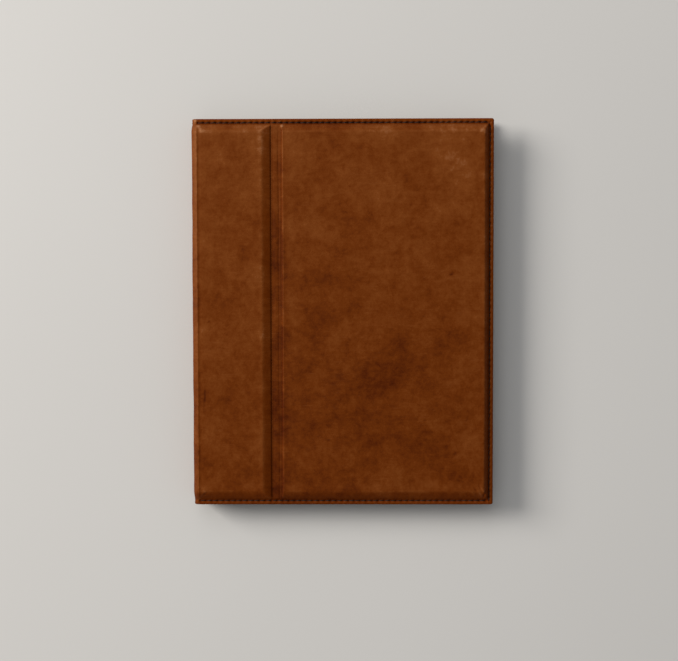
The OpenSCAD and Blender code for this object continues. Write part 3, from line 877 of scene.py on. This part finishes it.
def dyed_rim_and_slope_shade(c):
    """1 outside the stitches, where the edge is dyed, and a little less on the slopes that face away from the
    spine and the head, where it is painted shade.
    """
    rim = np.clip((STITCH - 0.55 - c.edge) / 0.4, 0, 1) * c.stitched
    away_x = (c.kind == "strip") | (c.s > W / 2)
    # slopes turned away from the light get the rim's darker colour as painted shade
    faces_away = np.where(c.high_x < c.high_y, away_x, c.y < 0)
    return np.maximum(rim, 0.75 * faces_away * np.clip(5 * (1 - c.high), 0, 1))


def patina_and_light_gradient(c):
    """How much paler the leather has become, place by place, over the whole album laid flat. The paling
    towards the head, and the patches that are paler near the head and darker low down, are painted light from
    above; the rest is fading.
    """
    x, y = c.laid, c.y
    paler = 0.015 + 0.05 * np.clip(y / HALF, -1, 1) + 0.06 * np.clip((x - 98) / 98, -1, 1)
    on_strip = np.clip((GROOVE_X - x) / 5, 0, 1) * np.clip((x - 3) / 3, 0, 1)
    paler = paler + on_strip * (0.04 + 0.05 * np.clip((80 - y) / 50, 0, 1))
    for gain, at_x, at_y, wide, high in (
        (0.06, 22, 95, 60, 60),
        (-0.09, 125, -42, 46, 42),
        (0.05, 172, 96, 40, 30),
    ):
        paler = paler + gain * np.exp(-(((x - at_x) / wide) ** 2 + ((y - at_y) / high) ** 2))
    return paler


def lie_flat(c):
    """Keeps the back's relief from standing above the padding that it lies on."""
    c.relief = np.where(c.high > 0.9, np.minimum(c.relief, 0) - 0.02 * (1 - c.high), c.relief)
    limit = np.where(c.high > 0.5, 0.0, 0.2)
    c.relief = np.where(c.on_cover, np.minimum(c.relief, limit), c.relief)


def leather_faces(c):
    """The outer and the inner face, as grids of points."""
    outer = c.base + c.normals * (c.relief - rolled(c.edge, 0.6))[..., None]
    inner = c.base - c.normals * (LEATHER + 0.02)
    level = T - SEAM - LEATHER
    low = np.minimum(inner[..., 2], level + (inner[..., 2] - level) * np.clip(c.high * 6, 0, 1))
    inner[..., 2] = np.where(c.on_cover, np.maximum(low, level), inner[..., 2])
    if not c.front:
        outer[..., 2] = np.maximum(T - outer[..., 2], 0.0)
        inner[..., 2] = T - inner[..., 2]
    return outer, inner


def leather_sheet(kind):
    """The outer grid, the inner grid, the masks for the material and the normals."""
    c = Cover(kind)
    soft_relief(c)
    seam(c)
    if kind != "panel":
        spine_shoulder(c)
    if c.front:
        crease(c)
        if kind == "panel":
            crease_band(c)
        corner_folds(c)
        nicks_and_highlights(c)
    else:
        lie_flat(c)
    rubbed_and_highlit_places(c)
    outer, inner = leather_faces(c)
    masks = {
        "flat": np.stack([c.laid, c.y, np.zeros_like(c.s)], 2),
        # paler for rubbing and painted highlights, darker for nicks and painted shade, the dyed rim with
        # painted shade on slopes turned from the light, and fading with painted light towards the head
        "wear_and_highlight": np.clip(c.wear_and_highlight, 0, 1.2),
        "shade_and_marks": np.clip(c.shade_and_marks, 0, 1.2),
        "edge": dyed_rim_and_slope_shade(c),
        "patina_and_light_gradient": patina_and_light_gradient(c),
    }
    normals = c.normals if c.front else c.normals * TURN_OVER
    return Grid(c.path[:, 0], Y, outer, normals), inner, masks


COVERS = {}
for kind, name, stands_for in (
    ("back", "back_cover_leather", ("back_leather", "back_foam")),
    ("strip", "strip_and_spine_leather", ("strip_leather", "strip_foam", "spine_leather")),
    ("panel", "panel_leather_skin", ("panel_leather", "panel_foam")),
):
    COVERS[kind], inner, masks = leather_sheet(kind)
    leather = shell(name, COVERS[kind].points, inner, masks, LEATHER_MAT, flip=(kind == "back"))
    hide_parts(*stands_for)
    turn(leather, kind)


# ---------------------------------------------------------------- the linings


def lining_lines(kind):
    """As cover_lines, with every second line left out away from the edges."""
    start, end, fine_to, all_to = {
        "back": (6.0, W, 9, 10),
        "strip": (6.0, GROOVE_X, 9, 10),
        "panel": (GROOVE_X, W, 60, 60),
    }[kind]
    lines = lattice(start, end, [(start, fine_to), (190, W)])
    if kind != "strip":
        lines |= {W - r for r in ROLL}
    lines = sorted(v for v in lines if kept(W - v))
    if kind != "panel":
        lines = lines[1:]                          # the gutter ends there
    return thin([v for k, v in enumerate(lines) if v < all_to or v > 189 or k % 2 == 0 or v == end])


def lining_path(kind, spine_steps=10, gutter_steps=12):
    """The same columns as cover_path, for the suede, with a rounded gutter between spine and cover."""
    level = T - COVER
    over = [(x, x, level, x, level) for x in lining_lines(kind)]
    if kind == "panel":
        return np.array(over)
    rows = []
    mid = T / 2
    gutter = level - GUTTER_R
    for k in range(spine_steps):
        z = mid + (gutter - mid) * k / spine_steps
        rows.append((z - mid - 12, 4.0, z, 2.5, z))
    for k in range(gutter_steps + 1):
        a = math.pi / 2 * k / gutter_steps
        out, z = GUTTER_R * (1 - math.cos(a)), gutter + GUTTER_R * math.sin(a)
        rows.append((-6.6 + 2.9 * k / gutter_steps, 4.0 + out, z, 2.5 + out, z))
    return np.array(rows + over)


def lining_sheet(kind):
    """The suede inside a cover, also worked out for the front and turned over for the back."""
    path = lining_path(kind)
    ys = np.array([v for k, v in enumerate(Y) if abs(v) > 118 or k % 2 == 0])
    s, y = np.broadcast_arrays(path[:, 0][:, None], ys[None, :])
    base = sheet_points(path, y, rise(HALF - FOOT + 1.0 - np.abs(y), 2.0))
    normals = -grid_normals(base)
    fore, edge = edge_distances(kind, s, y)
    tag = 60 if kind == "back" else 50
    groove = bell(edge - STITCH, 0.55)
    pit = bell(along_seam(fore, s, y)[1], 0.6) * groove
    board = bell(edge - 4.6, 0.5)                  # the board's edge shows through
    relief = -0.09 + 0.03 * noise2(s, y, 9, tag) - 0.22 * groove - 0.15 * pit - 0.10 * board
    # painted shade in the groove, in the needle holes and along the board's edge, and darker right at the
    # edge
    shade_and_marks = 0.5 * groove + 0.9 * pit + 0.35 * board + 0.3 * bell(edge, 0.7)
    if kind == "panel":
        relief = relief - 0.22 * bell(s - FOLD_X, 0.6)
        for beside in (-1.5, 1.5):
            relief = relief - 0.12 * bell(s - FOLD_X - beside, 0.4)
        # painted shade along the fold
        shade_and_marks = shade_and_marks + 0.5 * bell(s - FOLD_X, 0.8)
    outer = base + normals * (relief - rolled(edge, 0.4))[..., None]
    inner = base - normals * (LINING + 0.01)
    if kind == "back":
        for points in (outer, inner):
            points[..., 2] = T - points[..., 2]
        normals = normals * TURN_OVER
    masks = {"flat": np.stack([s, y + tag * 10, np.zeros_like(s)], 2), "shade_and_marks": np.clip(shade_and_marks, 0, 1)}
    return Grid(path[:, 0], ys, outer, normals), inner, masks


LININGS = {}
for kind, name, stands_for in (
    ("back", "back_cover_suede", ("back_lining",)),
    ("strip", "strip_and_spine_suede", ("strip_lining", "spine_lining")),
    ("panel", "panel_suede", ("panel_lining",)),
):
    LININGS[kind], inner, masks = lining_sheet(kind)
    suede = shell(name, LININGS[kind].points, inner, masks, SUEDE, flip=(kind != "back"))
    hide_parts(*stands_for)
    turn(suede, kind)


# ---------------------------------------------------------------- stitches


def stitch_mesh(name, stitches):
    """stitches: (start, end, normal, number). Each thread comes out of the sheet and goes back in."""
    around, along = 9, 9
    sunk = 0.52
    ids = np.arange(around * along).reshape(along, around)
    closed = np.column_stack([ids, ids[:, 0]])
    one_thread = [turned(q) for q in quads(closed)] + [ids[0, ::-1].tolist(), ids[-1].tolist()]
    verts, faces, flat = [], [], []
    for start, end, normal, number in stitches:
        rng = np.random.RandomState(1000 + number)
        run = end - start
        length = np.linalg.norm(run)
        side = np.cross(normal, run / length)
        lift = 0.12 + 0.05 * rng.uniform(-1, 1)
        radius = 0.31 + 0.02 * rng.uniform(-1, 1)
        spin = rng.uniform(0, math.pi)
        faces += [[len(verts) + v for v in face] for face in one_thread]
        for k in range(along):
            t = k / (along - 1)
            arch = math.sin(math.pi * t ** 1.35) ** 0.6 if 0 < t < 1 else 0.0
            centre = start + run * t + normal * ((sunk + lift) * arch - sunk)
            centre = centre + side * 0.06 * math.sin(math.pi * t) * rng.uniform(-1, 1)
            thick = radius * (0.80 + 0.20 * arch)
            for a in range(around):
                angle = 2 * math.pi * a / around
                ply = thick * (1 + 0.13 * math.cos(2 * (angle + spin) - 5.5 * t * math.pi))
                across, up = math.cos(angle) * ply * 1.08, math.sin(angle) * ply * 0.9
                verts.append(centre + side * across + normal * up)
                flat.append((length * t, angle * radius, number * 7.0))
    return mesh_object(name, np.array(verts), faces, {"flat": np.array(flat)}, 60, THREAD)


def seam_runs(x_from, x_to, fore_edge, lean):
    """Both ends of each stitch on the flat sheet: along head and tail, then down the fore edge."""
    first = math.ceil((x_from - 1e-6) / PITCH)
    last = math.floor((x_to + 1e-6) / PITCH)
    line = HALF - STITCH
    jog = 0.27 * lean
    starts_at, ends_at = 0.22, PITCH - 0.10        # within each pitch
    runs = []
    for side in (1, -1):
        for k in range(first, last):
            x0, x1 = k * PITCH + starts_at, k * PITCH + ends_at
            if x1 < -3.8 or x0 > 3.8:              # none over the spine's corner
                runs.append(((x0, side * line - jog), (x1, side * line + jog)))
    if fore_edge:
        x_line = W - STITCH
        reach = math.floor((line - 1.2) / PITCH)
        for k in range(-reach, reach):
            runs.append(((x_line - jog, k * PITCH + starts_at), (x_line + jog, k * PITCH + ends_at)))
        # the corners: cut across at the head, square at the tail
        runs.append(((last * PITCH + 0.15, line + 0.1), (x_line - 0.1, reach * PITCH + 0.2)))
        runs.append(((x_line - jog, -line - 0.2), (x_line + jog, -reach * PITCH - 0.15)))
    return runs


def crease_runs():
    """The stitch at each end of the crease, which leaves from the sharp line."""
    line = HALF - STITCH
    return [((GROOVE_X + 0.1, side * line - 0.2), (54.5, side * line + 0.27)) for side in (1, -1)]


def sew(grid, runs, number, up=None):
    """Stitches on a sheet, counted from the number. They stand along up, or along the sheet's normals."""
    made = []
    for start, end in runs:
        normal = grid.normal((start[0] + end[0]) / 2, (start[1] + end[1]) / 2) if up is None else up
        made.append((grid.point(*start) + normal * 0.30, grid.point(*end) + normal * 0.30, normal, number))
        number += 1
    return made


for kind, x_from, x_to, stands_for in (
    ("back", -8.0, 191.1, ("back_stitching",)),
    ("strip", -8.0, 50.7, ("strip_stitching", "spine_stitching")),
    ("panel", GROOVE_X + 0.35, 191.1, ("panel_stitching",)),
):
    fore_edge = kind != "strip"
    stitches = sew(COVERS[kind], seam_runs(x_from, x_to, fore_edge, 1), 0)
    if kind == "panel":
        stitches += sew(COVERS[kind], crease_runs(), len(stitches), np.array([0, 0, 1.0]))
    stitches += sew(LININGS[kind], seam_runs(max(x_from, 6.5), x_to, fore_edge, -1), 5000)
    thread = stitch_mesh(f"{kind}_stitches", stitches)
    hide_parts(*stands_for)
    turn(thread, kind)


# ---------------------------------------------------------------- leaves

POCKET_HALF = 0.98                         # half the thickness of a filled pocket
FILM_T = 0.05
HOLE_R = 3.1
TAB_HALF = 87.0                            # half the length of the punched tab
TAB_T = 0.4
TAB_EDGE = 0.6                             # first grid line from the tab's free edge
HOLE_TO_RING = 6.2                         # from the rings' middle to the holes, across
PRINT_GAP = 8.0
PRINT_R = 1.5


class Plate:
    """A flat plate's outline faces, whose corners are shared, before it gets its thickness."""

    def __init__(self):
        self.points = []
        self.weld = []
        self.faces = []
        self.shared = {}

    def add(self, x, y, weld):
        self.points.append((x, y))
        self.weld.append(weld)
        return len(self.points) - 1

    def corner(self, x, y):
        key = (round(x, 3), round(y, 3))
        if key not in self.shared:
            self.shared[key] = self.add(x, y, 0.75)
        return self.shared[key]

    def cell(self, x_a, x_b, y_a, y_b):
        corners = ((x_a, y_a), (x_b, y_a), (x_b, y_b), (x_a, y_b))
        self.faces.append([self.corner(x, y) for x, y in corners])

    def hole(self, outline, cx, cy, r):
        """Faces between a closed outline, counterclockwise, and a round hole inside it."""
        angles = [math.atan2(y - cy, x - cx) for x, y in outline]
        outer = [self.corner(x, y) for x, y in outline]
        inner = [self.add(cx + r * math.cos(a), cy + r * math.sin(a), 1.0) for a in angles]
        for k in range(len(outline)):
            after = (k + 1) % len(outline)
            sweep = (angles[after] - angles[k]) % (2 * math.pi)
            steps = max(1, int(sweep / 0.22))
            arc = []
            for t in range(1, steps):
                a = angles[k] + sweep * t / steps
                arc.append(self.add(cx + r * math.cos(a), cy + r * math.sin(a), 1.0))
            self.faces.append([outer[k], outer[after], inner[after]] + arc[::-1] + [inner[k]])

    def closed(self, first, count):
        """The faces of the upper side, the lower side and the edges, for vertices numbered from first."""
        sides = {(a, b) for f in self.faces for a, b in zip(f, f[1:] + f[:1])}
        made = [[first + v for v in f] for f in self.faces]
        made += [[first + count + v for v in reversed(f)] for f in self.faces]
        made += [[first + b, first + a, first + count + a, first + count + b]
                 for a, b in sorted(sides) if (b, a) not in sides]
        return made


def punched_tab(x_from, x_to, hole_x, ring_ys, flat_to):
    """The tab of a leaf, with a hole at each ring."""
    plate = Plate()
    holes_to = hole_x + 4.2                        # the grid starts again beyond the holes
    xs = [x_from, x_from + TAB_EDGE, holes_to] + [flat_to + k * 1.4 for k in range(4)] + [x_to]
    xs = sorted(set(round(x, 4) for x in xs if x <= x_to))
    ends = sorted({-TAB_HALF, TAB_HALF} | {c + side * 7.0 for c in ring_ys for side in (-1, 1)})
    for a, b in zip(ends, ends[1:]):
        centre = (a + b) / 2
        holed = any(abs(centre - c) < 0.1 for c in ring_ys) and b - a < 15
        rows = np.linspace(a, b, 5 if holed else max(2, int((b - a) / 8) + 1))
        for y_a, y_b in zip(rows, rows[1:]):
            for x_a, x_b in zip(xs, xs[1:]):
                if not (holed and x_b <= holes_to + 0.01):
                    plate.cell(x_a, x_b, y_a, y_b)
        if holed:
            outline = [(x, a) for x in (x_from, x_from + TAB_EDGE)]
            outline += [(holes_to, y) for y in rows]
            outline += [(x_from + TAB_EDGE, b), (x_from, b)]
            outline += [(x_from, y) for y in rows[-2:0:-1]]
            plate.hole(outline, hole_x, centre, HOLE_R)
    return plate


def even_lines(lo, hi, count):
    """Lines between two ends, closer together in the last 4 mm at each."""
    parts = [np.linspace(lo, lo + 4, 9), np.linspace(lo + 4, hi - 4, count), np.linspace(hi - 4, hi, 9)]
    return np.unique(np.round(np.concatenate(parts), 4))


def film_sheet(name, leaf):
    """One clear pocket: two films welded along three sides, and the punched tab that runs to the rings."""
    lo, hi = box_mm(f"leaf_{leaf}_sleeve")
    card_lo, card_hi = box_mm(f"leaf_{leaf}_card")
    x0 = card_lo[0] - 1.2
    mid = (card_lo[2] + card_hi[2]) / 2
    x, y = np.meshgrid(even_lines(x0, hi[0], 40), even_lines(lo[1], hi[1], 56), indexing="ij")
    from_weld = np.minimum(np.minimum(x - x0, hi[0] - x), y - lo[1])
    lift = ease(np.clip(from_weld / 2.6, 0, 1))
    ripple = 0.05 * noise2(x, y, 26, 70 + leaf) + 0.03 * noise2(x, y, 9, 80 + leaf)
    ids = np.arange(x.size).reshape(x.shape)
    verts, faces, flat = [], [], []
    for sign in (1, -1):
        gap = np.minimum(0.06 + (POCKET_HALF - 0.10) * lift + ripple * lift * sign, POCKET_HALF)
        outside = len(verts) * x.size + ids
        for z in (gap, gap - FILM_T):
            verts.append(np.stack([x, y, mid + sign * z], 2).reshape(-1, 3))
            flat.append(np.stack([x, y, np.full_like(x, leaf * 5.0 + sign)], 2).reshape(-1, 3))
        inside = outside + x.size
        made = quads(outside) + [turned(q) for q in quads(inside)]
        made += band_faces(perimeter(outside), perimeter(inside))
        faces += made if sign > 0 else [f[::-1] for f in made]
    weld = [bell(from_weld - 1.0, 0.7).ravel()] * 4

    plate_lo, plate_hi = box_mm("ring_base_plate")
    rings_lo, rings_hi = box_mm("left_half_rings")
    ring_x = (plate_lo[0] + plate_hi[0]) / 2
    ring_ys = [rings_lo[1] + 1.2, 0.0, rings_hi[1] - 1.2]
    tab_z = rings_hi[2] - 7.4 + (leaf - 3.5) * 0.64
    flat_to = ring_x + 9.8
    tab = punched_tab(lo[0], x0 + 0.9, ring_x + HOLE_TO_RING, ring_ys, flat_to)
    tab_xy = np.array(tab.points)
    z = tab_z + (mid - tab_z) * ease(np.clip((tab_xy[:, 0] - flat_to) / (x0 - flat_to), 0, 1))
    faces += tab.closed(4 * x.size, len(tab_xy))
    for side in (1, -1):
        verts.append(np.column_stack([tab_xy, z + side * TAB_T / 2]))
        flat.append(np.column_stack([tab_xy, np.full(len(tab_xy), leaf * 5.0)]))
        weld.append(tab.weld)
    masks = {"flat": np.concatenate(flat), "weld": np.concatenate(weld)}
    return mesh_object(name, np.concatenate(verts), faces, masks, 50, FILM)


def rounded_outline(half_x, half_y, r):
    """Points round a rectangle with rounded corners, counterclockwise."""
    points = []
    for sx, sy, start in ((1, 1, 0), (-1, 1, 90), (-1, -1, 180), (1, -1, 270)):
        for degrees in range(start, start + 91, 18):
            a = math.radians(degrees)
            points.append((sx * (half_x - r) + r * math.cos(a), sy * (half_y - r) + r * math.sin(a)))
    return np.array(points)


def print_plates(name, leaf):
    """Four prints in one piece: two on each side of the card, with rounded corners."""
    lo, hi = box_mm(f"leaf_{leaf}_prints")
    card_lo, card_hi = box_mm(f"leaf_{leaf}_card")
    height = (hi[1] - lo[1] - PRINT_GAP) / 2
    half_x, half_y = (hi[0] - lo[0]) / 2 - 0.5, height / 2 - 0.5
    outline = rounded_outline(half_x, half_y, PRINT_R)
    count = len(outline)
    verts, faces, picture, kinds = [], [], [], []
    for side, (sign, z_card, z_out) in enumerate(((1, card_hi[2], hi[2]), (-1, card_lo[2], lo[2]))):
        for row, centre_y in enumerate((-(height + PRINT_GAP) / 2, (height + PRINT_GAP) / 2)):
            rng = np.random.RandomState(300 + leaf * 10 + side * 3 + row)
            a = math.radians(rng.uniform(-0.35, 0.35))
            turned = outline @ np.array([[math.cos(a), math.sin(a)], [-math.sin(a), math.cos(a)]])
            inner = list(range(len(verts) * count, (len(verts) + 1) * count))
            outer = [v + count for v in inner]
            for z in (z_card + sign * 0.005, z_out):
                verts.append(np.column_stack([turned + ((lo[0] + hi[0]) / 2, centre_y), np.full(count, z)]))
                across = 0.5 + outline[:, 0] / (2 * half_x) * sign
                picture.append(np.column_stack([across, 0.5 + outline[:, 1] / (2 * half_y), np.zeros(count)]))
                kinds.append(np.full(count, ((leaf * 4 + side * 2 + row) * 0.618034) % 1.0))
            upper, lower = (outer, inner)[::sign]
            faces += [upper, lower[::-1]] + band_faces(upper, lower)
    masks = {"picture": np.concatenate(picture), "kind": np.concatenate(kinds)}
    return mesh_object(name, np.concatenate(verts), faces, masks, 30, PRINTS)


for leaf in range(1, 7):
    film = film_sheet(f"leaf_{leaf}_pocket", leaf)
    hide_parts(f"leaf_{leaf}_sleeve")
    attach(film, f"leaf_{leaf}")
    prints = print_plates(f"leaf_{leaf}_photos", leaf)
    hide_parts(f"leaf_{leaf}_prints")
    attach(prints, f"leaf_{leaf}")


# ---------------------------------------------------------------- CAD nodes that stay


def dress(node, material):
    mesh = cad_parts[node].data
    if not mesh.materials:
        mesh.materials.append(material)
    for i in range(len(mesh.materials)):
        mesh.materials[i] = material


for node in ("ring_base_plate", "mechanism_rivets", "left_blade", "left_half_rings", "right_blade",
             "right_half_rings", "head_lever", "tail_lever"):
    dress(node, NICKEL)
for node in ("back_board", "spine_board", "strip_board", "panel_board"):
    dress(node, GREYBOARD)
for leaf in range(1, 7):
    dress(f"leaf_{leaf}_card", BLACK_CARD)


# ---------------------------------------------------------------- floor, light, camera

FLOOR_HALF = 6.0
floor_mesh = bpy.data.meshes.new("floor")
floor_corners = [(x * FLOOR_HALF, y * FLOOR_HALF, 0) for x, y in ((-1, -1), (1, -1), (1, 1), (-1, 1))]
floor_mesh.from_pydata(floor_corners, [], [(0, 1, 2, 3)])
floor_mesh.materials.append(floor_material())
floor = bpy.data.objects.new("floor", floor_mesh)
bpy.context.scene.collection.objects.link(floor)
floor.location.z = -0.0002                         # just under the back cover


def area_light(name, at, target, size, power, colour):
    data = bpy.data.lights.new(name, "AREA")
    data.shape = "SQUARE"
    data.size = size
    data.energy = power
    data.color = colour
    light = bpy.data.objects.new(name, data)
    bpy.context.scene.collection.objects.link(light)
    light.location = at
    light.rotation_mode = "QUATERNION"
    light.rotation_quaternion = (Vector(target) - Vector(at)).to_track_quat("-Z", "Y")


KEY_WAY = Vector((-1.42, 0.58, 1.0)).normalized()
area_light("key", KEY_WAY * 2.8, (0, 0, 0.01), 1.24, 80.0, (1.0, 0.975, 0.94))
area_light("overhead", (-0.35, 0.9, 1.5), (0, 0, 0.02), 1.2, 7.0, (0.95, 0.97, 1.0))

world = bpy.data.worlds.new("studio")
bpy.context.scene.world = world
world.use_nodes = True
sky = world.node_tree.nodes["Background"]
sky.inputs["Color"].default_value = (0.95, 0.97, 1.0, 1)
sky.inputs["Strength"].default_value = 0.28

camera_data = bpy.data.cameras.new("camera")
camera_data.lens = 70
camera_data.sensor_width = 36
camera_data.sensor_fit = "HORIZONTAL"
camera_data.clip_start = 0.01
camera_data.clip_end = 50
camera = bpy.data.objects.new("camera", camera_data)
bpy.context.scene.collection.objects.link(camera)
camera.location = (0.00784, 0.02965, 0.8813)
camera.rotation_euler = [math.radians(a) for a in (-2.7439, 0.6946, -0.1143)]
bpy.context.scene.camera = camera

bpy.context.scene.view_settings.view_transform = "Standard"

bpy.context.view_layer.update()
